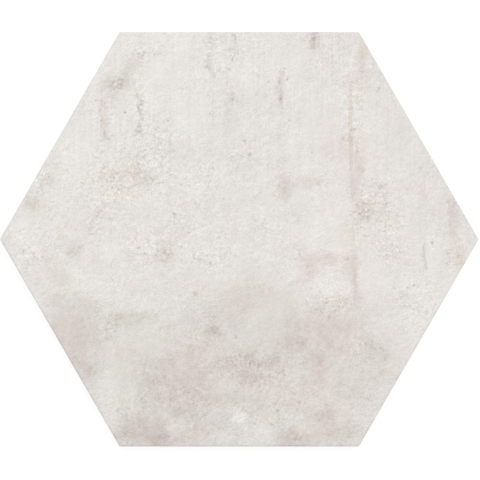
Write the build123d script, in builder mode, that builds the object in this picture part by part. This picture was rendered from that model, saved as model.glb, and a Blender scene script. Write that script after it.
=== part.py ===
"""Hexagonal concrete-look porcelain floor tile, dry pressed and fired as one piece.

Millimetres. The back plane is z = 0, the glazed walking face is up, corners lie on the X axis
and two of the six flanks face +Y and -Y.
"""
from build123d import *
from math import floor, sqrt
import os

# Plan: a regular hexagon with eased corners
across_flats = 254.0
corner_radius = 1.2

# Section: rounded arris around the walking face, chamfered heel around the back
thickness = 9.0
arris_radius = 0.9
heel_width = 0.9
heel_height = 1.2

# Keyed back: shallow hexagonal cells left by the press punch, with drafted walls
cell_width = 17.4
rib_width = 3.0
cell_depth = 0.8
cell_draft = 40.0
plain_border = 8.0

# The cells stand in whole rings about the centre, as many as fit inside the plain border
cell_pitch = cell_width + rib_width
row_pitch = cell_pitch * sqrt(3) / 2
cell_reach = cell_width / sqrt(3)
room_for_rings = across_flats / 2 - heel_width - plain_border - cell_reach
ring_count = max(floor(room_for_rings / row_pitch), 0)
cell_centres = []
for row in range(-ring_count, ring_count + 1):
    cells_in_row = 2 * ring_count + 1 - abs(row)
    for place in range(cells_in_row):
        cell_x = (place - (cells_in_row - 1) / 2) * cell_pitch
        cell_centres.append((cell_x, row * row_pitch))

with BuildPart() as tile:
    # Pressed body
    with BuildSketch() as outline:
        RegularPolygon(radius=across_flats / 2, side_count=6, major_radius=False)
        fillet(outline.vertices(), radius=corner_radius)
    extrude(amount=thickness)

    # Arris rounded by the punch, heel chamfered so a bed of adhesive can rise around it
    walking_face = tile.faces().sort_by(Axis.Z)[-1]
    fillet(walking_face.edges(), radius=arris_radius)
    back_face = tile.faces().sort_by(Axis.Z)[0]
    chamfer(back_face.edges(), length=heel_width, length2=heel_height, reference=back_face)

    # Key: cell flats face their neighbours, so the ribs between them are even
    with BuildSketch() as cells:
        with Locations(*cell_centres):
            RegularPolygon(radius=cell_width / 2, side_count=6, major_radius=False, rotation=30)
    extrude(amount=cell_depth, taper=cell_draft, mode=Mode.SUBTRACT)

tile.part.label = "tile"
os.makedirs("parts", exist_ok=True)
export_step(tile.part, "parts/tile.step")
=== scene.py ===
"""Looks of the hexagonal concrete-look floor tile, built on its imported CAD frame."""
import bpy
import math
import numpy as np
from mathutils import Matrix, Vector, noise


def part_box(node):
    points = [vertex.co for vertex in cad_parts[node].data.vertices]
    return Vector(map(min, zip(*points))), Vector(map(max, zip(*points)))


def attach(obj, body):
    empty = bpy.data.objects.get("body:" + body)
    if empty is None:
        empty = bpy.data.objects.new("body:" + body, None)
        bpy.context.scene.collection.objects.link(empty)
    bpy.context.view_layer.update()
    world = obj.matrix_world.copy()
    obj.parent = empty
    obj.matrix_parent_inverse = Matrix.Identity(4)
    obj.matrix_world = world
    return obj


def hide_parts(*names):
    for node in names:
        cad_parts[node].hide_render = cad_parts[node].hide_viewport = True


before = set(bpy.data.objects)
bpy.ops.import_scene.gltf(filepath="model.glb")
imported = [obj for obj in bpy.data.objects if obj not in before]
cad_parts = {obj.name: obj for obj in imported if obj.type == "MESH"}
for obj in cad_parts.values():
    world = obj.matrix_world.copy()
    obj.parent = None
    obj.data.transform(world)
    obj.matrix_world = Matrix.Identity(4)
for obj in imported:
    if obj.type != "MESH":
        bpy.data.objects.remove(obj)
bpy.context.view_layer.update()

# The tile: porcelain powder dry pressed in a hexagonal die, glazed on its face and fired as one piece.
# The punch rounds the arris around the face, and the die leaves a chamfered heel and a back keyed
# with shallow cells. Sizes are in millimetres, and turn to metres as the mesh is made.
MM = 0.001
tile_low, tile_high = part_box("tile")
thickness = (tile_high.z - tile_low.z) / MM
half_width = tile_high.y / MM
corner_radius = 1.2
arris_radius = 0.9
heel_width = 0.9
heel_height = 1.2
cell_width = 17.4
rib_width = 3.0
cell_depth = 0.8
cell_draft = 40.0
cell_rings = 6
swell_length, swell_depth = 34.0, 0.06
drag_length, drag_width, drag_depth = 30.0, 2.6, 0.03
ripple_length, ripple_depth = 5.0, 0.03
pinhole_depth, pinhole_rim = 0.25, 0.3
calm_border = 3.0
face_steps = 150
corner_steps = 4
arris_steps = 5

# Pinholes where gas left the glaze: x, y, radius
pinholes = [
    (-70.0, 77.5, 0.8), (29.5, 98.0, 0.7), (27.5, 104.5, 0.5), (18.0, 96.5, 0.6), (118.0, -2.3, 0.8),
    (85.5, 92.5, 0.6), (107.0, -28.3, 0.8), (-88.0, 85.0, 0.6), (-43.6, 72.6, 0.4), (44.5, 53.0, 0.5),
    (-18.0, 77.0, 0.5), (-70.0, 55.6, 0.5), (-114.8, 11.8, 0.4),
]


def rim(side, along):
    """Spine point and outward direction of the outline, along one side from corner 0 to corner 1."""
    corner_share = corner_steps / face_steps
    turn_in = np.clip(along / corner_share, 0, 1)
    turn_out = np.clip((along - 1) / corner_share + 1, 0, 1)
    straight = np.clip((along - corner_share) / (1 - 2 * corner_share), 0, 1)
    facing = np.radians(60 * side + 30 * turn_in + 30 * turn_out)
    start = np.radians(60 * side)
    end = np.radians(60 * side + 60)
    reach = (half_width - corner_radius) / math.cos(math.radians(30))
    spine_x = reach * (np.cos(start) + (np.cos(end) - np.cos(start)) * straight)
    spine_y = reach * (np.sin(start) + (np.sin(end) - np.sin(start)) * straight)
    spine = np.stack([spine_x, spine_y], axis=-1)
    outward = np.stack([np.cos(facing), np.sin(facing)], axis=-1)
    return spine, outward


def face_depth(x, y, from_edge):
    """How far the fired face lies below its highest level, in millimetres."""
    swell = 0.5 - 0.5 * noise.noise(Vector((x / swell_length, y / swell_length, 1.0)))
    drag = 0.5 - 0.5 * noise.noise(Vector((x / drag_width, y / drag_length, 7.0)))
    ripple = 0.5 - 0.5 * noise.noise(Vector((x / ripple_length, y / ripple_length, 3.0)))
    depth = swell_depth * swell + drag_depth * drag + ripple_depth * ripple
    for pin_x, pin_y, radius in pinholes:
        away = ((x - pin_x) ** 2 + (y - pin_y) ** 2) / (radius + pinhole_rim) ** 2
        if away < 1:
            depth += pinhole_depth * (1 - away)
    return depth * min(max(from_edge / calm_border, 0), 1)


# Face: rings of points about the centre, each the shape of the outline
points = [(0.0, 0.0, thickness - face_depth(0.0, 0.0, half_width))]
unrolled = [(0.0, 0.0)]
for ring in range(1, face_steps + 1):
    ring_side = np.repeat(np.arange(6), ring)
    ring_along = np.tile(np.arange(ring) / ring, 6)
    spine, outward = rim(ring_side, ring_along)
    ring_places = (spine + (corner_radius - arris_radius) * outward) * ring / face_steps
    from_edge = half_width * (1 - ring / face_steps)
    for x, y in ring_places:
        points.append((x, y, thickness - face_depth(x, y, from_edge)))
        unrolled.append((x, y))


def ring_point(ring, place):
    """Number of a point of the face, counted around its ring from the corner on +X."""
    if ring == 0:
        return 0
    return 1 + 3 * ring * (ring - 1) + place % (6 * ring)


faces = []
for ring in range(1, face_steps + 1):
    for side in range(6):
        for step in range(ring):
            here = ring_point(ring, side * ring + step)
            ahead = ring_point(ring, side * ring + step + 1)
            inside = ring_point(ring - 1, side * (ring - 1) + step)
            faces.append((here, ahead, inside))
            if step < ring - 1:
                inside_ahead = ring_point(ring - 1, side * (ring - 1) + step + 1)
                faces.append((inside, ahead, inside_ahead))

# Section: arris, flank and heel, as reach beyond the spine and height
section = []
for step in range(1, arris_steps + 1):
    bend = math.radians(90 * step / arris_steps)
    reach = corner_radius - arris_radius + arris_radius * math.sin(bend)
    section.append((reach, thickness - arris_radius + arris_radius * math.cos(bend)))
section.append((corner_radius, (thickness + heel_height) / 2))
section.append((corner_radius, heel_height))
section.append((corner_radius - heel_width, 0.0))
rim_count = 6 * face_steps
rim_side = np.repeat(np.arange(6), face_steps)
rim_spine, rim_outward = rim(rim_side, np.tile(np.arange(face_steps) / face_steps, 6))
loop_above = [ring_point(face_steps, place) for place in range(rim_count)]
reach_above, height_above = corner_radius - arris_radius, thickness
walked = reach_above
for course, (reach, height) in enumerate(section):
    if course == arris_steps:
        glazed_faces = len(faces)
    walked += math.hypot(reach - reach_above, height - height_above)
    loop_below = list(range(len(points), len(points) + rim_count))
    for x, y in rim_spine + reach * rim_outward:
        points.append((x, y, height))
    for x, y in rim_spine + walked * rim_outward:
        unrolled.append((x, y))
    for place in range(rim_count):
        ahead = (place + 1) % rim_count
        faces.append((loop_above[place], loop_below[place], loop_below[ahead], loop_above[ahead]))
    loop_above, reach_above, height_above = loop_below, reach, height
heel_loop = loop_below
flank_faces = len(faces)

# Back: each cell is a rib around a rounded mouth, a drafted wall and a level floor. Its section gives
# widths across the flats and heights, from the middle of the rib inwards
pitch = cell_width + rib_width
floor_width = cell_width - 2 * cell_depth * math.tan(math.radians(cell_draft))
mouth_outer, mouth_inner = cell_width + 0.4, cell_width - 0.1
foot_outer, foot_inner = floor_width + 0.2, floor_width - 0.3
rounded_height = 0.1
cell_section = [
    (pitch, 0.0),
    (mouth_outer, 0.0),
    (mouth_inner, rounded_height),
    (foot_outer, cell_depth - rounded_height),
    (foot_inner, cell_depth),
]
known_points = {}


def back_point(x, y, height):
    """Number of the point at that place on the back, made the first time it is asked for."""
    key = (round(x, 3), round(y, 3), height)
    if key not in known_points:
        known_points[key] = len(points)
        points.append((x, y, height))
    return known_points[key]


rib_edges = set()
for row in range(-cell_rings, cell_rings + 1):
    cells_in_row = 2 * cell_rings + 1 - abs(row)
    for place in range(cells_in_row):
        cell_x = (place - (cells_in_row - 1) / 2) * pitch
        cell_y = row * pitch * math.sqrt(3) / 2
        loops = []
        for width, height in cell_section:
            loop = []
            for corner in range(6):
                turn = math.radians(30 + 60 * corner)
                corner_x = cell_x + width / math.sqrt(3) * math.cos(turn)
                corner_y = cell_y + width / math.sqrt(3) * math.sin(turn)
                loop.append(back_point(corner_x, corner_y, height))
            loops.append(loop)
        for outer, inner in zip(loops, loops[1:]):
            for corner in range(6):
                ahead = (corner + 1) % 6
                faces.append((outer[corner], inner[corner], inner[ahead], outer[ahead]))
        faces.append(tuple(reversed(loops[-1])))
        for corner in range(6):
            start, end = loops[0][corner], loops[0][(corner + 1) % 6]
            if (end, start) in rib_edges:
                rib_edges.remove((end, start))
            else:
                rib_edges.add((start, end))


def bearing(point):
    """Angle of a point of the mesh about the centre, from 0 to a full turn."""
    return math.atan2(points[point][1], points[point][0]) % (2 * math.pi)


# Plain border: triangles between the heel and the outline of the cells, worked round by bearing
next_point = dict(rib_edges)
cell_loop = [min(next_point, key=bearing)]
while next_point[cell_loop[-1]] != cell_loop[0]:
    cell_loop.append(next_point[cell_loop[-1]])
heel_turns = [bearing(point) for point in heel_loop] + [2 * math.pi]
cell_turns = [bearing(point) for point in cell_loop] + [bearing(cell_loop[0]) + 2 * math.pi]
heel_place, cell_place = 0, 0
while heel_place < len(heel_loop) or cell_place < len(cell_loop):
    heel_here = heel_loop[heel_place % len(heel_loop)]
    heel_ahead = heel_loop[(heel_place + 1) % len(heel_loop)]
    cell_here = cell_loop[cell_place % len(cell_loop)]
    cell_ahead = cell_loop[(cell_place + 1) % len(cell_loop)]
    heel_done = heel_place == len(heel_loop)
    cells_done = cell_place == len(cell_loop)
    if cells_done or not heel_done and heel_turns[heel_place + 1] <= cell_turns[cell_place + 1]:
        faces.append((heel_ahead, heel_here, cell_here))
        heel_place += 1
    else:
        faces.append((heel_here, cell_here, cell_ahead))
        cell_place += 1

tile_mesh = bpy.data.meshes.new("tile_body")
points = np.clip(np.array(points) * MM, tile_low, tile_high)
tile_mesh.from_pydata(points, [], faces)
tile_mesh.polygons.foreach_set("use_smooth", [True] * len(faces))
sharp_from = math.radians(25)
tile_mesh.set_sharp_from_angle(angle=sharp_from)
glaze_slot, flank_slot, back_slot = 0, 1, 2
slot_of_face = np.full(len(faces), back_slot, np.int32)
slot_of_face[:flank_faces] = flank_slot
slot_of_face[:glazed_faces] = glaze_slot
tile_mesh.polygons.foreach_set("material_index", slot_of_face)
tile_body = bpy.data.objects.new("tile_body", tile_mesh)
bpy.context.scene.collection.objects.link(tile_body)

# Flat map of the surface: face, arris, flank and heel unrolled as one sheet, and the back below it.
# Scales are shares of the map to a millimetre
sheet_scale, sheet_place = 0.0027, (0.43, 0.627)
back_scale, back_place = 0.00092, (0.145, 0.124)
corner_point = np.empty(len(tile_mesh.loops), np.int32)
tile_mesh.loops.foreach_get("vertex_index", corner_point)
corners_on_face = np.array([len(face) for face in faces])
on_back = np.repeat(slot_of_face == back_slot, corners_on_face)
plan = points[:, :2] / MM
sheet = plan.copy()
sheet[:len(unrolled)] = unrolled
flat_map = np.where(on_back[:, None], plan[corner_point] * back_scale, sheet[corner_point] * sheet_scale)
flat_map += np.where(on_back[:, None], back_place, sheet_place)
tile_map = tile_mesh.uv_layers.new(name="OFBake")
tile_map.uv.foreach_set("vector", flat_map.astype(np.float32).ravel())

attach(tile_body, "root")
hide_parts("tile")

# Glaze of the face and arris: matt, printed to look like old cast concrete and fired on. Pale warm grey
# with rose and ochre clouds, runs that start at the top edge, and fine grit, ripples and pinholes.
# Marks are placed in millimetres from the centre of the face, as they lie in the photograph.


def srgb(red, green, blue):
    """A colour as read off a screen, 0 to 255, in the linear values that a shader takes."""
    parts = np.array([red, green, blue]) / 255
    linear = np.where(parts <= 0.04045, parts / 12.92, ((parts + 0.055) / 1.055) ** 2.4)
    return (*linear, 1.0)


def add_node(tree, kind, inputs, **settings):
    """A new node with its own settings, and its inputs linked or set by name or number."""
    node = tree.nodes.new(kind)
    for name, value in settings.items():
        setattr(node, name, value)
    for name, value in inputs.items():
        if isinstance(value, bpy.types.NodeSocket):
            tree.links.new(value, node.inputs[name])
        else:
            node.inputs[name].default_value = value
    return node


def combine(tree, operation, first, second=0.0, third=0.0):
    """Result of a Math node."""
    node = add_node(tree, "ShaderNodeMath", {0: first, 1: second, 2: third}, operation=operation)
    return node.outputs[0]


def move(tree, operation, first, second, third=(0.0, 0.0, 0.0)):
    """Result of a Vector Math node."""
    node = add_node(tree, "ShaderNodeVectorMath", {0: first, 1: second, 2: third}, operation=operation)
    return node.outputs[0]


def ramp(tree, value, start, end, low=0.0, high=1.0):
    """A value eased from low to high as it goes from start to end."""
    inputs = {"Value": value, "From Min": start, "From Max": end, "To Min": low, "To Max": high}
    node = add_node(tree, "ShaderNodeMapRange", inputs, interpolation_type="SMOOTHSTEP", clamp=False)
    return node.outputs["Result"]


def wash(tree, amount, under, over, mode="MULTIPLY"):
    """One colour laid over another by an amount."""
    inputs = {0: amount, 6: under, 7: over}
    node = add_node(tree, "ShaderNodeMix", inputs, data_type="RGBA", blend_type=mode)
    return node.outputs[2]


def mottle(tree, place, size, seed, detail=2.0, roughness=0.5, output="Fac"):
    """Cloudy noise around 0.5 whose largest blotches are about that size across, in millimetres."""
    stretch = (1 / size[0], 1 / size[1], 1 / size[0])
    shift = (seed * 13.7, seed * 7.3, seed * 3.1)
    moved = move(tree, "MULTIPLY_ADD", place, stretch, shift)
    inputs = {"Vector": moved, "Scale": 1.0, "Detail": detail, "Roughness": roughness}
    return add_node(tree, "ShaderNodeTexNoise", inputs).outputs[output]


# Blot: a soft oval mark of printed colour, added to the marks under it
blot = bpy.data.node_groups.new("Blot", "ShaderNodeTree")
for name in ("Place", "Centre", "Half Size"):
    blot.interface.new_socket(name, in_out="INPUT", socket_type="NodeSocketVector")
for name in ("Inner", "Outer", "Strength", "Under"):
    blot.interface.new_socket(name, in_out="INPUT", socket_type="NodeSocketFloat")
blot.interface.new_socket("Mask", in_out="OUTPUT", socket_type="NodeSocketFloat")
blot_in = blot.nodes.new("NodeGroupInput").outputs
blot_away = move(blot, "SUBTRACT", blot_in["Place"], blot_in["Centre"])
blot_away = move(blot, "DIVIDE", blot_away, blot_in["Half Size"])
blot_reach = add_node(blot, "ShaderNodeVectorMath", {0: blot_away}, operation="LENGTH").outputs["Value"]
blot_mask = ramp(blot, blot_reach, blot_in["Inner"], blot_in["Outer"], 1.0, 0.0)
blot_sum = combine(blot, "MULTIPLY_ADD", blot_mask, blot_in["Strength"], blot_in["Under"])
add_node(blot, "NodeGroupOutput", {"Mask": blot_sum})


def lay_blots(tree, place, marks, inner, outer):
    """Sum of marks, each x, y, half width and half height in millimetres, and strength."""
    total = None
    for x, y, across, up, strength in marks:
        node = add_node(tree, "ShaderNodeGroup", {}, node_tree=blot)
        node.inputs["Centre"].default_value = (x, y, 0.0)
        node.inputs["Half Size"].default_value = (across, up, 1.0)
        node.inputs["Inner"].default_value = inner
        node.inputs["Outer"].default_value = outer
        node.inputs["Strength"].default_value = strength
        tree.links.new(place, node.inputs["Place"])
        if total:
            tree.links.new(total, node.inputs["Under"])
        total = node.outputs["Mask"]
    return total


cool_ground = srgb(230, 227, 222)
warm_ground = srgb(229, 224, 219.5)
pale_colour = srgb(232, 230, 225)
dusk_tint = (0.76, 0.73, 0.71, 1.0)
rose_tint = (0.985, 0.945, 0.95, 1.0)
ochre_tint = (0.97, 0.95, 0.91, 1.0)
grey_tint = (0.50, 0.47, 0.44, 1.0)
run_tint = (0.92, 0.875, 0.83, 1.0)
pin_tint = (0.68, 0.66, 0.64, 1.0)
glaze_relief = 0.00005
MM_PER_METRE = 1000.0
cloud_wander, run_wander, curl_wander = (11.0, 11.0, 0.0), (4.0, 4.0, 0.0), (6.0, 6.0, 0.0)
noise_middle = (0.5, 0.5, 0.5)

# How much each kind of mark lightens the print, or darkens it where it is below zero
tone_amount = 0.34
brushing_amount = 0.12
band_amount = 0.06
streak_amount = -0.07
grit_amount = 0.225
ripple_shade_amount = 0.17
crumb_amount = -0.15
fleck_amount = 0.04
light_curl_amount = 0.06
curl_shadow_amount = -0.07
placed_curl_amount = 0.095

# Clouds of warm grey. The lower third is the darkest, then small ones over the rest
dusk_clouds = [
    (-20, -102, 98, 60, 0.42), (5, -42, 36, 15, 0.22), (-104, -60, 18, 26, 0.34),
    (56, -52, 26, 16, 0.34), (-37, -90, 24, 18, 0.26), (10, -77, 19, 11, 0.34),
    (74, -74, 26, 20, 0.23), (28, -74, 10, 8, 0.22), (-72, -12, 28, 10, 0.10),
    (126, -20, 10, 16, 0.16), (-78, -47, 16, 8, 0.26), (80, 14, 14, 16, 0.12),
    (-58, -117, 18, 10, 0.36), (33, -123, 10, 6, 0.36), (58, -116, 14, 13, 0.30),
    (34, -63, 9, 5, 0.25), (45, -79, 9, 10, 0.26), (82, -68, 10, 8, 0.20),
    (90, -78, 13, 9, 0.15), (-66, -48, 11, 4, 0.36), (-90, -80, 9, 9, 0.18),
    (-33, -106, 8, 4.5, 0.22), (-24, -124, 6, 4, 0.12), (-45, -123, 11, 5, 0.30),
    (-104, -38, 17, 6, 0.28), (-108, -24, 6, 5, 0.20), (-96, -78, 6, 9, 0.20),
    (-68, 103, 4, 4, 0.22), (-66, 110, 5, 5, 0.36), (-75, 95, 10, 7, 0.32), (-68, 102, 5, 7, 0.18),
    (-82.5, 77, 2.6, 13, 0.28), (-59, 114, 4, 2, 0.25), (-48, 115, 5, 2.5, 0.12),
    (-62, 66, 3.5, 2.5, 0.28), (-18, 108, 3, 6, 0.22), (-17, 120, 3, 8, 0.12),
    (-12, 103, 2, 2, 0.18), (-25, 112, 3, 6, 0.12), (-3, 118, 2, 9, 0.12),
    (-3, 84.5, 6, 2, 0.22), (-6, 72, 4, 12, 0.15), (25, 91, 3.2, 11, 0.32),
    (24, 63, 2, 4, 0.15), (26, 50, 2.5, 8, 0.14), (45.7, 121, 3.5, 6, 0.40),
    (75, 112, 3, 12, 0.14), (70, 52, 5, 14, 0.08),
    (71, 34, 5, 12, 0.20), (75, 44, 3, 3, 0.18), (63, 62, 2.5, 2.5, 0.18),
    (38, 86, 3.5, 2.2, 0.18), (3, 60, 2.2, 2.2, 0.22), (0, 51, 2.5, 2, 0.16),
    (-5, 48, 2, 2, 0.16), (28, 31, 4.5, 8, 0.28), (41, 35, 10, 3.5, 0.22),
    (50, 31, 2, 7, 0.12), (78, 20, 7, 5, 0.24), (77, 13, 5, 3.5, 0.25),
    (87, 32, 3, 3, 0.18), (90, 24, 3, 8, 0.12), (113, 27, 2, 4, 0.12),
    (130, 20, 2.5, 6, 0.10), (131.5, 8, 3.5, 15, 0.20), (135, -10, 4, 7, 0.28),
    (37, 8, 2.5, 12, 0.12), (44, -16, 4, 9, 0.22), (55, -12, 9, 3.5, 0.20),
    (68, -15, 4.5, 6, 0.28), (71, -26, 2.5, 7, 0.20), (-126, 23, 6, 5, 0.32),
    (-117, 36, 5, 4, 0.26), (-57, 38, 8, 5, 0.22), (-69, 36, 10, 9, 0.16),
    (-64, 45, 5, 6, 0.16), (-101, -7, 8, 5, 0.20), (-103, -3, 10, 10, 0.10),
    (-92, 7, 4, 3, 0.20), (-46, -10, 9, 6, 0.20), (-42, -2, 4, 4, 0.14),
    (-35, 3, 4, 3, 0.14), (-68, -9, 5, 2.5, 0.12), (-27, -33, 3, 2.5, 0.20),
    (-16, -56, 4.5, 3, 0.42), (-63, -115, 9, 8, 0.36), (84, -37, 24, 9, 0.20),
    (113.2, -10, 1.4, 10, 0.35), (0, -97, 14, 5, 0.20), (24, -62, 10, 6, 0.22), (68, -86, 9, 15, 0.20),
    (-75, 84, 11, 6, 0.15), (-79, 62, 5, 6, 0.26), (-78, 108, 5, 5, 0.15), (-114, 40, 7, 14, 0.14),
    (-122, -20, 10, 12, 0.14), (-6, -12, 6, 6, 0.15), (-6, 0, 6, 5, 0.18), (7, 24, 6, 5, 0.15),
    (39, -72, 10, 9, 0.18), (-18, -98, 7, 6, 0.18), (-19, -64, 6, 4, 0.15), (-116, -36, 6, 7, 0.18),
    (61, -24, 10, 5, 0.14), (92, -50, 6, 7, 0.12), (-86, -62, 9, 5, 0.14), (-30, -110, 6, 5, 0.14),
    (43, -123, 6, 4, 0.18), (92, 12, 5, 5, 0.14), (-104, 12, 6, 5, 0.14), (-79, 85, 5, 6, 0.14),
    (-46, -87, 12, 8, 0.14), (-6, 116, 5, 9, 0.14), (31, -50, 7, 6, 0.18), (56, -98, 6, 6, 0.20),
    (-67, -14, 5, 4, 0.12),
]
# Lighter stripes and spots where the grey is rubbed thin
pale_clouds = [
    (14, -13, 9, 6, 0.75), (32, -110, 7, 6, 0.40), (-45, 107, 10, 12, 0.50), (-38, 118, 6, 8, 0.40),
    (32, 60, 3.5, 22, 0.55), (7, 37, 7, 7, 0.60), (14, 86, 8, 6, 0.45), (43, 98, 5, 6, 0.40),
    (-78, -110, 5, 5, 0.30), (-12, -122, 7, 5, 0.30), (71.5, 76, 1.8, 13, 0.40),
    (68, 113, 2.5, 9, 0.40), (62, 112, 2, 9, 0.30), (-43, 62, 14, 5, 0.30), (93, 61, 6, 6, 0.30),
    (-72, 12, 9, 5, 0.50), (-30, -62, 5, 4, 0.30), (31, 122, 5, 4, 0.30),
    (46, 10, 4, 17, 0.55), (119, -8, 4, 18, 0.50), (-80, -95, 7, 20, 0.40),
    (-40, -114, 5, 6, 0.25), (0, -109, 4, 3, 0.80), (8, -119, 18, 8, 0.45),
    (105, -48, 6, 8, 0.60), (-97, -22, 4.5, 3, 0.70), (-68, 21, 3, 5, 0.60),
    (-38, 36, 4, 6, 0.50), (-134, 5, 6, 7, 0.40), (-78, -4, 6, 7, 0.40),
    (-25, 8, 5, 9, 0.40), (96, -18, 2.5, 2, 0.50), (55, -25, 7, 7, 0.30),
    (-42, -38, 26, 7, 0.40), (-60, -62, 14, 8, 0.26), (-96, 57, 11, 9, 0.55),
    (10, 100, 12, 14, 0.30), (-30, 78, 10, 24, 0.65), (-50, -54, 12, 5, 0.22), (70, -84, 8, 5, 0.20),
    (-36, 68, 10, 8, 0.35), (-80, 37, 4, 4, 0.25), (104, 55, 5, 9, 0.40), (-30, 12, 5, 5, 0.35),
]
rose_clouds = [
    (0, 8, 150, 42, 0.14), (75, 85, 36, 50, 0.25), (19, 60, 34, 24, 0.20),
    (-80, 95, 3, 3, 0.80), (-70, 95, 4, 4, 0.80), (-17, 117, 2, 2.5, 0.80),
    (-17, 108, 2, 3.5, 0.80), (-4.5, 89, 2.5, 4.5, 1.00), (26, 101, 1.5, 4, 0.70),
    (45.5, 119, 2.5, 6, 1.00), (66, 121, 3, 4, 0.60), (77, 104, 2.5, 14, 0.70),
    (68, 97, 4, 5, 0.80), (60, 56, 10, 6, 1.00), (72, 55, 7, 11, 1.00),
    (72, 38, 4, 14, 0.60), (28, 32, 5, 8, 0.90), (41, 35, 11, 4, 0.90),
    (78, 21, 6, 4.5, 0.90), (103, 31, 2.5, 3.5, 0.80), (112, 29, 2.5, 4.5, 0.80),
    (131.5, 8, 4, 16, 1.00), (127, 1, 3, 3, 0.70), (135, -6, 4, 5, 0.70),
    (39, -18, 3.5, 16, 0.90), (44, -17, 4, 9, 0.90), (56, -12, 14, 4, 0.90),
    (68, -14, 5, 6, 0.90), (71, -26, 3.5, 9, 0.80), (53, -55, 19, 10, 1.00),
    (34, -63, 9, 5, 0.80), (61, -39, 3, 6, 0.80), (62, -69, 13, 3.5, 0.80),
    (49, -76, 8, 7, 0.80), (46, -90, 7, 9, 0.70), (50, -112, 10, 12, 0.90),
    (33, -122, 10, 6, 0.70), (-33, -88, 19, 17, 1.00), (-25, -68, 9, 6, 0.80),
    (-8, -75, 7, 5, 0.80), (6, -83, 9, 9, 0.90), (-12, -98, 3.5, 4, 0.70),
    (-102, -58, 15, 13, 1.00), (-96, -77, 6, 9, 0.80), (-93, -38, 3.5, 5, 0.80),
    (-54, -115, 8, 6, 0.80), (-45, -123, 10, 4, 0.80), (1, -40, 6, 5, 0.80),
    (11, -30, 4, 2.5, 0.80), (-18, -57, 4, 4, 0.70), (-126, 23, 4.5, 3, 0.90),
    (-50, 4, 2.5, 3, 0.80), (102, -70, 3, 4, 0.60),
]
ochre_clouds = [
    (-83, 72, 2.5, 11, 0.80), (-67, 104, 4, 5, 0.40), (-65, 110, 4, 4, 0.40),
    (76, 116, 2, 8, 0.50), (74, 101, 2, 9, 0.40),
    (66, 3, 3.5, 11, 0.70), (25, 88, 1.5, 6, 0.70), (135, -13, 3.5, 6, 1.00),
    (131, 22, 1.5, 4, 0.80), (-75, 35, 16, 10, 0.60), (-65, 45, 5, 6, 0.60),
    (-44, -8, 5, 8, 0.60), (-127, 18, 4, 3, 0.60), (-110, 4, 2.5, 5, 0.70),
    (-116, -17, 6, 6, 0.50), (-108, -25, 7, 6, 0.60), (-50, -54, 14, 6, 0.50),
    (-65, -68, 14, 12, 0.40), (-24, -117, 5, 6, 0.50), (0, -36, 30, 9, 0.40),
    (25, -95, 18, 12, 0.40),
]
# Crust, where the print is rough with crumbs and curls of cement. Below zero the print is rubbed smooth
crust_zones = [
    (-62, 12, 62, 44, 0.22), (2, 18, 40, 42, 0.12), (0, -92, 110, 36, 0.15), (92, 0, 4, 24, 0.4),
    (-60, 115, 13, 7, 0.7), (-72, 96, 11, 9, 0.5), (-60, 78, 5, 16, 0.6), (-82, 74, 6, 13, 0.5),
    (-70, 38, 24, 12, 0.6), (-52, 53, 10, 9, 0.6), (-118, 30, 12, 15, 0.3), (-128, -8, 9, 10, 0.6),
    (-88, 10, 5, 14, 0.5), (-50, -8, 18, 10, 0.6), (-36, 9, 8, 12, 0.4), (-14, -10, 12, 10, 0.5),
    (20, 4, 8, 14, 0.4), (-20, 37, 18, 9, 0.4), (9, 52, 14, 9, 0.4), (-15, 112, 7, 14, 0.6),
    (-3, 118, 4, 10, 0.6), (27, 98, 7, 8, 0.6), (-5, 90, 5, 10, 0.5), (45, 121, 5, 6, 0.6),
    (70, 78, 7, 24, 0.5), (80, 25, 15, 13, 0.6), (75, 10, 7, 9, 0.5), (90, 0, 5, 16, 0.4),
    (132, -8, 6, 10, 0.5), (105, -35, 15, 16, 0.5), (60, -39, 9, 9, 0.9), (-82, -55, 10, 9, 0.5),
    (8, -80, 22, 12, 0.6), (5, -107, 20, 8, 0.4), (-30, -97, 10, 8, 0.4), (72, -70, 12, 13, 0.3),
    (-45, 104, 12, 11, -0.4), (-98, 62, 10, 12, -0.4), (-30, 78, 7, 11, -0.4), (36, 108, 8, 14, -0.3),
    (48, 72, 10, 20, -0.3), (102, 60, 14, 22, -0.4), (40, 20, 9, 6, -0.3), (80, -18, 7, 10, -0.4),
    (30, -37, 10, 7, -0.3), (12, -53, 12, 7, -0.3), (-77, -83, 13, 16, -0.4), (-58, -67, 13, 6, -0.3),
    (106, 4, 5, 14, -0.3),
]
# Curls of lighter cement in the crust that are large enough to place, each a light ring with a painted shadow
# around it
cement_curls = [
    (-68.5, 35.3, 3.2, 2.8, 1.0), (-80, 26, 3.1, 2.8, 0.9), (-65, 44.5, 2.6, 3.2, 0.8),
    (-59, 45, 1.9, 3.2, 0.9), (-76, 36, 1.9, 3.2, 0.9), (-71.5, 28, 1.8, 1.8, 0.8),
    (-64, 30, 2.3, 2.4, 0.7), (-75.5, 52, 1.6, 1.6, 0.6), (-63.4, -7.3, 1.3, 1.3, 0.9),
    (-53.6, -17, 1.4, 1.5, 0.8), (-66, -3, 3.0, 2.6, 0.6), (-43.5, -7, 1.3, 1.4, 0.8),
    (-62, -14.7, 3.0, 1.7, 0.6), (-62.3, -23.4, 1.0, 1.3, 0.8), (79, 24, 3.2, 2.2, 1.0),
    (78, 16, 2.4, 2.0, 0.8), (96, -8.5, 2.0, 2.4, 0.8), (-24, 44, 2.6, 2.2, 0.6),
]
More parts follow.
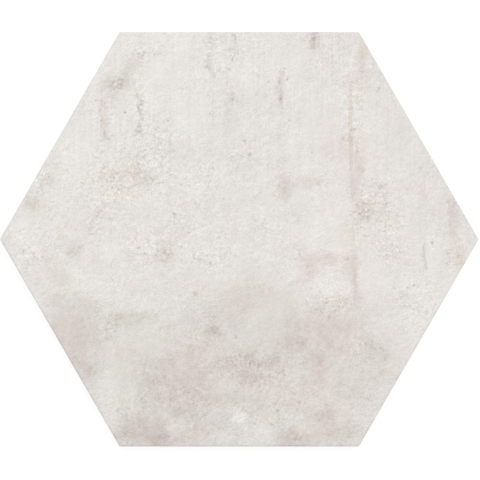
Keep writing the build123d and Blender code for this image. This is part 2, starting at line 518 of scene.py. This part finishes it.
# Narrow runs and scuffs of dark grey
grey_runs = [
    (-85.4, 78, 0.8, 4, 0.22), (-84.6, 71, 0.8, 4, 0.26), (-82, 65, 1.2, 2.5, 0.22), (-63, 89, 1.8, 3, 0.36),
    (-60, 84, 2, 3, 0.36), (-60.5, 79, 1.4, 4, 0.30), (-60, 74, 1.4, 3, 0.30), (-61, 69, 1.4, 3, 0.26),
    (-62.5, 66.5, 2.2, 1.4, 0.25), (-60, 64, 1.2, 1.5, 0.25), (-76, 95, 6, 4, 0.18),
    (-74.5, 96, 2.5, 3.5, 0.22), (-51, 113, 5, 2, 0.15), (-58, 114.5, 1.8, 1.2, 0.30),
    (-61, 113, 1.5, 1.2, 0.20), (-2, 123, 0.8, 3, 0.36), (-3, 116, 0.5, 5, 0.18),
    (-4.2, 110, 0.8, 1.8, 0.36), (-6.5, 104, 1, 1.2, 0.20), (-18, 105.5, 1.8, 1, 0.22),
    (-12, 103, 1.2, 1, 0.18), (-16, 100, 0.8, 4, 0.14), (-15, 122, 1, 1.8, 0.18),
    (-4, 88, 0.9, 3.5, 0.18), (-2, 84.5, 3, 0.9, 0.22), (24.5, 97, 0.9, 2.2, 0.36),
    (25, 91, 0.9, 2, 0.20), (25.3, 86, 1.2, 3, 0.32), (26.5, 78, 0.8, 5, 0.14),
    (45.5, 124, 1.6, 3, 0.26), (45.3, 118, 1.2, 3, 0.16),
    (63, 62, 1.5, 1.2, 0.22), (75, 43.5, 2, 1.8, 0.22), (72, 54, 1.5, 6, 0.14),
    (28, 27, 2.2, 2, 0.18), (48, 34, 1.8, 1.2, 0.18), (76, 17, 3.5, 1, 0.18),
    (78, 13, 3, 2.2, 0.15), (87, 32, 1.6, 1.4, 0.22), (115, 25, 0.8, 2, 0.18),
    (113.3, -11, 1.0, 9, 0.13), (127, -8, 0.9, 1.5, 0.20), (127, -15, 0.5, 6, 0.14),
    (128, 22, 0.8, 4, 0.18), (-17, -56, 4, 3, 0.20), (-13, -58, 3, 2, 0.15),
    (-2.2, -60, 1, 1.8, 0.36), (-57, 38, 5, 4, 0.14), (-46, -11, 6, 4, 0.14),
    (-102, -9, 4, 3, 0.14), (-98, -5, 3, 2, 0.12), (-39, 15, 1.3, 1.6, 0.26),
    (6, -72, 3, 2.2, 0.22), (15, -77, 4, 3, 0.15), (-46, -121, 5, 1.5, 0.20),
    (35, -122, 4, 1.5, 0.20), (-27, -33, 1.6, 1.4, 0.16), (3, 60, 1.2, 1.2, 0.26),
]
# Straight ochre runs that came down from the top edge
straight_runs = [
    (68.2, 78, 1.4, 19, 1.0), (68.5, 52, 1.3, 14, 0.8), (69.5, 32, 1.6, 10, 0.6), (75, 112, 1.6, 12, 0.3),
    (73.5, 108, 2.4, 20, 0.2), (57, 110, 0.9, 14, 0.25), (61, 110, 0.8, 12, 0.25), (66.7, 112, 0.8, 12, 0.35),
    (71.8, 85, 0.7, 12, 0.25), (75, 82, 0.5, 16, 0.4),
    (69.8, 5, 1.3, 18, 0.4), (71, -26, 1.3, 16, 0.5), (98, -8, 1.0, 26, 0.2), (90, -6, 0.9, 22, 0.25),
    (111, 8, 0.8, 18, 0.2), (129, 12, 0.8, 14, 0.3), (84, 92, 0.7, 16, 0.2),
]

glaze = bpy.data.materials.new("matt_glaze")
glaze.use_nodes = True
tree = glaze.node_tree
glaze_shader = tree.nodes["Principled BSDF"]
own_place = add_node(tree, "ShaderNodeTexCoord", {}).outputs["Object"]
face_place = move(tree, "MULTIPLY", own_place, (MM_PER_METRE, MM_PER_METRE, 0.0))
wander = mottle(tree, face_place, (9, 9), 1, 4.0, 0.75, "Color")
wander = move(tree, "SUBTRACT", wander, noise_middle)
cloud_place = move(tree, "MULTIPLY_ADD", wander, cloud_wander, face_place)
run_place = move(tree, "MULTIPLY_ADD", wander, run_wander, face_place)

# Level: how light the print is. Clouding at every size, and upright brushing in the upper half
tone = mottle(tree, face_place, (46, 46), 5, 4.0, 0.9)
level = combine(tree, "MULTIPLY_ADD", combine(tree, "SUBTRACT", tone, 0.5), tone_amount, 1.0)
face_height = add_node(tree, "ShaderNodeSeparateXYZ", {0: face_place}).outputs["Y"]
brushed = ramp(tree, face_height, -40.0, 80.0)
brushing = combine(tree, "SUBTRACT", mottle(tree, face_place, (1.4, 24), 6, 2.0, 0.6), 0.5)
brushing = combine(tree, "MULTIPLY", brushing, brushed)
level = combine(tree, "MULTIPLY_ADD", brushing, brushing_amount, level)
bands = combine(tree, "SUBTRACT", mottle(tree, face_place, (8, 90), 16, 2.0, 0.5), 0.5)
bands = combine(tree, "MULTIPLY", bands, brushed)
level = combine(tree, "MULTIPLY_ADD", bands, band_amount, level)
streaks = ramp(tree, mottle(tree, face_place, (1.0, 34), 17, 1.0, 0.5), 0.62, 0.78)
streaks = combine(tree, "MULTIPLY", streaks, brushed)
level = combine(tree, "MULTIPLY_ADD", streaks, streak_amount, level)

# Grain: fine grit, and painted light and shade that make the ripples look lit from one side, all over and
# more of both in the crust, with crumbs, flecks and thin curls of lighter cement that have a painted shadow
# beside them
crust = lay_blots(tree, cloud_place, crust_zones, 0.3, 1.5)
patchy = mottle(tree, face_place, (26, 26), 4, 3.0, 0.6)
crust = combine(tree, "ADD", crust, ramp(tree, patchy, 0.35, 0.65, 0.2, 0.6))
crust = combine(tree, "MAXIMUM", crust, 0.0)
grit = mottle(tree, face_place, (1.05, 1.05), 2, 1.0, 0.9)
grit_and_ripple_shade = combine(tree, "MULTIPLY", combine(tree, "SUBTRACT", grit, 0.5), grit_amount)
ripple = mottle(tree, face_place, (3.0, 3.0), 3, 2.0, 0.6)
# Painted light and shade: the ripples are lighter or darker as if lit from the upper left
ripple_beside = mottle(tree, move(tree, "ADD", face_place, (0.5, -0.6, 0.0)), (3.0, 3.0), 3, 2.0, 0.6)
ripple_painted_shade = combine(tree, "SUBTRACT", ripple_beside, ripple)
grit_and_ripple_shade = combine(tree, "MULTIPLY_ADD", ripple_painted_shade, ripple_shade_amount, grit_and_ripple_shade)
level = combine(tree, "ADD", level, grit_and_ripple_shade)
clusters = ramp(tree, mottle(tree, face_place, (12, 12), 19, 3.0, 0.6), 0.42, 0.62, 0.1, 1.6)
crumb_field = mottle(tree, run_place, (2.6, 2.6), 7, 3.0, 0.7)
crumbs = combine(tree, "MULTIPLY", ramp(tree, crumb_field, 0.54, 0.66), clusters)
crust_grain_and_shade = combine(tree, "MULTIPLY_ADD", crumbs, crumb_amount, grit_and_ripple_shade)
flecks = ramp(tree, crumb_field, 0.42, 0.33)
crust_grain_and_shade = combine(tree, "MULTIPLY_ADD", flecks, fleck_amount, crust_grain_and_shade)
curl_field = mottle(tree, run_place, (5.5, 5.5), 9, 2.0, 0.5)
light_curl = combine(tree, "ABSOLUTE", combine(tree, "SUBTRACT", curl_field, 0.53))
light_curl = ramp(tree, light_curl, 0.0, 0.05, 1.0, 0.0)
crust_grain_and_shade = combine(tree, "MULTIPLY_ADD", light_curl, light_curl_amount, crust_grain_and_shade)
# Painted shadow: a dark line beside each light curl, as if the curl cast it
curl_painted_shadow = combine(tree, "ABSOLUTE", combine(tree, "SUBTRACT", curl_field, 0.455))
curl_painted_shadow = ramp(tree, curl_painted_shadow, 0.0, 0.045, 1.0, 0.0)
crust_grain_and_shade = combine(tree, "MULTIPLY_ADD", curl_painted_shadow, curl_shadow_amount, crust_grain_and_shade)
level = combine(tree, "MULTIPLY_ADD", crust_grain_and_shade, crust, level)
shadow_ring_share, curl_share, hollow_share = 1.6, 1.2, 0.7
curl_marks = []
for x, y, across, up, strength in cement_curls:
    # Painted shadow: a dark ring around the light curl
    curl_marks.append((x, y, shadow_ring_share * across, shadow_ring_share * up, -strength))
    curl_marks.append((x, y, curl_share * across, curl_share * up, 2 * strength))
    curl_marks.append((x, y, hollow_share * across, hollow_share * up, -strength))
curl_bend = mottle(tree, face_place, (4, 4), 20, 2.0, 0.6, "Color")
curl_bend = move(tree, "SUBTRACT", curl_bend, noise_middle)
curl_place = move(tree, "MULTIPLY_ADD", curl_bend, curl_wander, face_place)
placed_curls_and_shadows = lay_blots(tree, curl_place, curl_marks, 0.8, 1.1)
level = combine(tree, "MULTIPLY_ADD", placed_curls_and_shadows, placed_curl_amount, level)

# Print: two ground hues, cooler towards the upper left, then clouds and runs. Marks are broken up by the
# grain of the print
hue_slope = (0.0005, -0.0004, 0.0)
slant = add_node(tree, "ShaderNodeVectorMath", {0: face_place, 1: hue_slope}, operation="DOT_PRODUCT")
hue_field = combine(tree, "ADD", mottle(tree, face_place, (28, 36), 15), slant.outputs["Value"])
blush = ramp(tree, hue_field, 0.24, 0.72)
colour = wash(tree, blush, cool_ground, warm_ground, "MIX")
broken = ramp(tree, mottle(tree, face_place, (13, 13), 8, 5.0, 0.8), 0.3, 0.7, 0.55, 1.45)
dusk = lay_blots(tree, cloud_place, dusk_clouds, 0.4, 1.5)
colour = wash(tree, combine(tree, "MULTIPLY", dusk, broken), colour, dusk_tint)
rose = lay_blots(tree, cloud_place, rose_clouds, 0.6, 1.35)
colour = wash(tree, rose, colour, rose_tint)
ochre = lay_blots(tree, cloud_place, ochre_clouds, 0.4, 1.5)
colour = wash(tree, ochre, colour, ochre_tint)
pale = lay_blots(tree, cloud_place, pale_clouds, 0.4, 1.5)
colour = wash(tree, pale, colour, pale_colour, "MIX")
grey = lay_blots(tree, run_place, grey_runs, 0.3, 1.5)
ragged = ramp(tree, mottle(tree, face_place, (2.2, 2.2), 18, 2.0, 0.7), 0.38, 0.62, 0.1, 1.9)
colour = wash(tree, combine(tree, "MULTIPLY", grey, ragged), colour, grey_tint)
straight = lay_blots(tree, face_place, straight_runs, 0.4, 1.4)
colour = wash(tree, combine(tree, "MULTIPLY", straight, broken), colour, run_tint)
pins = lay_blots(tree, face_place, [(x, y, size, size, 1.0) for x, y, size in pinholes], 0.5, 1.3)
colour = wash(tree, pins, colour, pin_tint)

# The face turns a little darker towards its outline, from 1.3 mm to 0.2 mm inside it, all the way round
edge_darkening_from, edge_darkening_to, edge_darkening_amount = half_width - 1.3, half_width - 0.2, 0.05
edge_reach = 0.0
for turn in (30, 90, 150):
    facing = (math.cos(math.radians(turn)), math.sin(math.radians(turn)), 0.0)
    across = add_node(tree, "ShaderNodeVectorMath", {0: face_place, 1: facing}, operation="DOT_PRODUCT")
    edge_reach = combine(tree, "MAXIMUM", combine(tree, "ABSOLUTE", across.outputs["Value"]), edge_reach)
edge_darkening = ramp(tree, edge_reach, edge_darkening_from, edge_darkening_to, 0.0, edge_darkening_amount)
level = combine(tree, "SUBTRACT", level, edge_darkening)
level_colour = add_node(tree, "ShaderNodeCombineColor", {0: level, 1: level, 2: level}).outputs[0]
colour = wash(tree, 1.0, colour, level_colour)
tree.links.new(colour, glaze_shader.inputs["Base Color"])

roughness = combine(tree, "MULTIPLY_ADD", tone, 0.5, 0.32)
tree.links.new(roughness, glaze_shader.inputs["Roughness"])
height = combine(tree, "MULTIPLY_ADD", ripple, 1.5, grit)
height = combine(tree, "MULTIPLY_ADD", pins, -2.0, height)
bump_inputs = {"Height": height, "Strength": 1.0, "Distance": glaze_relief}
glaze_bump = add_node(tree, "ShaderNodeBump", bump_inputs)
tree.links.new(glaze_bump.outputs["Normal"], glaze_shader.inputs["Normal"])
tile_mesh.materials.append(glaze)

# Bare flank: the same porcelain unglazed, pale grey with fine grains of feldspar. The die wall drags
# upright lines in it, and a breath of glaze runs over its top edge.

# Bare Porcelain: the fired body with no glaze on it, in two shades of grain under a slow stain
bare = bpy.data.node_groups.new("Bare Porcelain", "ShaderNodeTree")
bare.interface.new_socket("Place", in_out="INPUT", socket_type="NodeSocketVector")
for name in ("Dark", "Light", "Stain"):
    bare.interface.new_socket(name, in_out="INPUT", socket_type="NodeSocketColor")
bare.interface.new_socket("Colour", in_out="OUTPUT", socket_type="NodeSocketColor")
for name in ("Grain", "Roughness"):
    bare.interface.new_socket(name, in_out="OUTPUT", socket_type="NodeSocketFloat")
bare_in = bare.nodes.new("NodeGroupInput").outputs
bare_grain = mottle(bare, bare_in["Place"], (0.6, 0.6), 8, 2.0, 0.7)
bare_cloud = mottle(bare, bare_in["Place"], (26, 26), 9, 3.0, 0.6)
bare_colour = wash(bare, ramp(bare, bare_grain, 0.3, 0.7), bare_in["Dark"], bare_in["Light"], "MIX")
bare_colour = wash(bare, ramp(bare, bare_cloud, 0.35, 0.7, 0.0, 0.4), bare_colour, bare_in["Stain"], "MIX")
bare_roughness = ramp(bare, bare_grain, 0.2, 0.8, 0.66, 0.88)
add_node(bare, "NodeGroupOutput", {"Colour": bare_colour, "Grain": bare_grain, "Roughness": bare_roughness})

flank_colours = {"Dark": srgb(198, 191, 182), "Light": srgb(214, 208, 200), "Stain": srgb(188, 179, 169)}
flank_relief = 0.00005
drag_stretch = 10.0
overrun_low, overrun_reach, overrun_amount = 1.9, 2.4, 0.9
flank = bpy.data.materials.new("bare_flank")
flank.use_nodes = True
tree = flank.node_tree
flank_shader = tree.nodes["Principled BSDF"]
own_place = add_node(tree, "ShaderNodeTexCoord", {}).outputs["Object"]
body_place = move(tree, "MULTIPLY", own_place, (MM_PER_METRE, MM_PER_METRE, MM_PER_METRE))
body_height = add_node(tree, "ShaderNodeSeparateXYZ", {0: body_place}).outputs["Z"]
flank_body = add_node(tree, "ShaderNodeGroup", {"Place": body_place, **flank_colours}, node_tree=bare).outputs
glaze_edge = mottle(tree, body_place, (3, 3), 10)
lowest_glaze = thickness - arris_radius - overrun_low
glaze_edge = combine(tree, "MULTIPLY_ADD", glaze_edge, overrun_reach, lowest_glaze)
above_edge = combine(tree, "SUBTRACT", body_height, glaze_edge)
overrun = ramp(tree, above_edge, -0.4, 0.4, 0.0, overrun_amount)
flank_colour = wash(tree, overrun, flank_body["Colour"], warm_ground, "MIX")
tree.links.new(flank_colour, flank_shader.inputs["Base Color"])
tree.links.new(flank_body["Roughness"], flank_shader.inputs["Roughness"])
upright_scale = (MM_PER_METRE, MM_PER_METRE, MM_PER_METRE / drag_stretch)
upright_place = move(tree, "MULTIPLY", own_place, upright_scale)
drag_lines = mottle(tree, upright_place, (0.9, 0.9), 11, 2.0, 0.6)
flank_height = combine(tree, "MULTIPLY_ADD", drag_lines, 0.8, flank_body["Grain"])
bump_inputs = {"Height": flank_height, "Strength": 1.0, "Distance": flank_relief}
flank_bump = add_node(tree, "ShaderNodeBump", bump_inputs)
tree.links.new(flank_bump.outputs["Normal"], flank_shader.inputs["Normal"])
tile_mesh.materials.append(flank)

# Keyed back: bare porcelain, with a thin white kiln wash on the ribs and border that keeps the tile from
# sticking to the rollers. The cells stay darker because the wash roller doesn't reach them.
back_colours = {"Dark": srgb(184, 175, 165), "Light": srgb(202, 194, 185), "Stain": srgb(172, 162, 151)}
wash_colour = srgb(226, 222, 216)
wash_fades_from, wash_fades_to = 0.02, 0.25
back_relief = 0.0001
keyed_back = bpy.data.materials.new("keyed_back")
keyed_back.use_nodes = True
tree = keyed_back.node_tree
back_shader = tree.nodes["Principled BSDF"]
own_place = add_node(tree, "ShaderNodeTexCoord", {}).outputs["Object"]
key_place = move(tree, "MULTIPLY", own_place, (MM_PER_METRE, MM_PER_METRE, MM_PER_METRE))
back_height = add_node(tree, "ShaderNodeSeparateXYZ", {0: key_place}).outputs["Z"]
back_body = add_node(tree, "ShaderNodeGroup", {"Place": key_place, **back_colours}, node_tree=bare).outputs
on_ribs = ramp(tree, back_height, wash_fades_from, wash_fades_to, 1.0, 0.0)
wash_streaks = mottle(tree, key_place, (35, 4), 14, 5.0, 0.7)
kiln_wash = combine(tree, "MULTIPLY", on_ribs, ramp(tree, wash_streaks, 0.36, 0.64, 0.5, 0.88))
back_colour = wash(tree, kiln_wash, back_body["Colour"], wash_colour, "MIX")
tree.links.new(back_colour, back_shader.inputs["Base Color"])
tree.links.new(back_body["Roughness"], back_shader.inputs["Roughness"])
bump_inputs = {"Height": back_body["Grain"], "Strength": 1.0, "Distance": back_relief}
back_bump = add_node(tree, "ShaderNodeBump", bump_inputs)
tree.links.new(back_bump.outputs["Normal"], back_shader.inputs["Normal"])
tile_mesh.materials.append(keyed_back)

# Floor: a plain painted studio floor that the tile lies on. To the camera the paint has a light of its
# own, which makes it white beside the tile's soft shadow, and to other light it is a pale grey.


def seen_rays(tree):
    """1 for rays that show a surface to the camera, also in a mirror or through glass, and 0 for light."""
    ray = add_node(tree, "ShaderNodeLightPath", {}).outputs
    seen = combine(tree, "MAXIMUM", ray["Is Camera Ray"], ray["Is Glossy Ray"])
    return combine(tree, "MAXIMUM", seen, ray["Is Transmission Ray"])


floor_mesh = bpy.data.meshes.new("studio_floor")
floor_half = 6.0
plain_grey = (0.8, 0.8, 0.8, 1.0)
thin_grey = (0.2, 0.2, 0.2, 1.0)
white = (1.0, 1.0, 1.0, 1.0)
own_light = 0.84
floor_corners = [
    (-floor_half, -floor_half, 0.0), (floor_half, -floor_half, 0.0),
    (floor_half, floor_half, 0.0), (-floor_half, floor_half, 0.0),
]
floor_mesh.from_pydata(floor_corners, [], [(0, 1, 2, 3)])
studio_floor = bpy.data.objects.new("studio_floor", floor_mesh)
bpy.context.scene.collection.objects.link(studio_floor)
floor_paint = bpy.data.materials.new("floor_paint")
floor_paint.use_nodes = True
tree = floor_paint.node_tree
tree.nodes.remove(tree.nodes["Principled BSDF"])
floor_out = tree.nodes["Material Output"]
plain_paint = add_node(tree, "ShaderNodeBsdfDiffuse", {"Color": plain_grey}).outputs[0]
thin_paint = add_node(tree, "ShaderNodeBsdfDiffuse", {"Color": thin_grey}).outputs[0]
white_light = add_node(tree, "ShaderNodeEmission", {"Color": white, "Strength": own_light}).outputs[0]
white_floor = add_node(tree, "ShaderNodeAddShader", {0: thin_paint, 1: white_light}).outputs[0]
floor_mix = add_node(tree, "ShaderNodeMixShader", {0: seen_rays(tree), 1: plain_paint, 2: white_floor})
tree.links.new(floor_mix.outputs[0], floor_out.inputs["Surface"])
floor_mesh.materials.append(floor_paint)

# Light: an even white surround and one broad lamp from above the tile's top edge. The surround lights
# the tile a little less than it shows, so that it is plain white behind the tile.
studio = bpy.data.worlds.new("studio")
studio.use_nodes = True
bpy.context.scene.world = studio
tree = studio.node_tree
surround_level = 0.68
surround_strength = combine(tree, "MULTIPLY_ADD", seen_rays(tree), 1.0 - surround_level, surround_level)
surround = tree.nodes["Background"]
surround.inputs["Color"].default_value = white
tree.links.new(surround_strength, surround.inputs["Strength"])
broad_lamp = bpy.data.lights.new("broad_lamp", "SUN")
broad_lamp.energy = 1.15
broad_lamp.angle = math.radians(50)
lamp_stand = bpy.data.objects.new("broad_lamp", broad_lamp)
lamp_from = Vector((0.25, 0.60, 1.0))
lamp_stand.rotation_euler = lamp_from.to_track_quat("Z", "Y").to_euler()
bpy.context.scene.collection.objects.link(lamp_stand)

# Camera: a long lens square above the face, as the photograph was taken. It stands half a millimetre
# off the centre, because the tile lies a little off the centre of the photograph.
picture_width = 293.9
off_centre = 0.46
lens = 100.0
sensor = 36.0
camera_data = bpy.data.cameras.new("camera")
camera_data.lens = lens
camera_data.sensor_width = sensor
camera = bpy.data.objects.new("camera", camera_data)
camera_height = thickness + picture_width * lens / sensor
camera.location = (off_centre * MM, -off_centre * MM, camera_height * MM)
bpy.context.scene.collection.objects.link(camera)
bpy.context.scene.camera = camera
bpy.context.scene.view_settings.view_transform = "Standard"
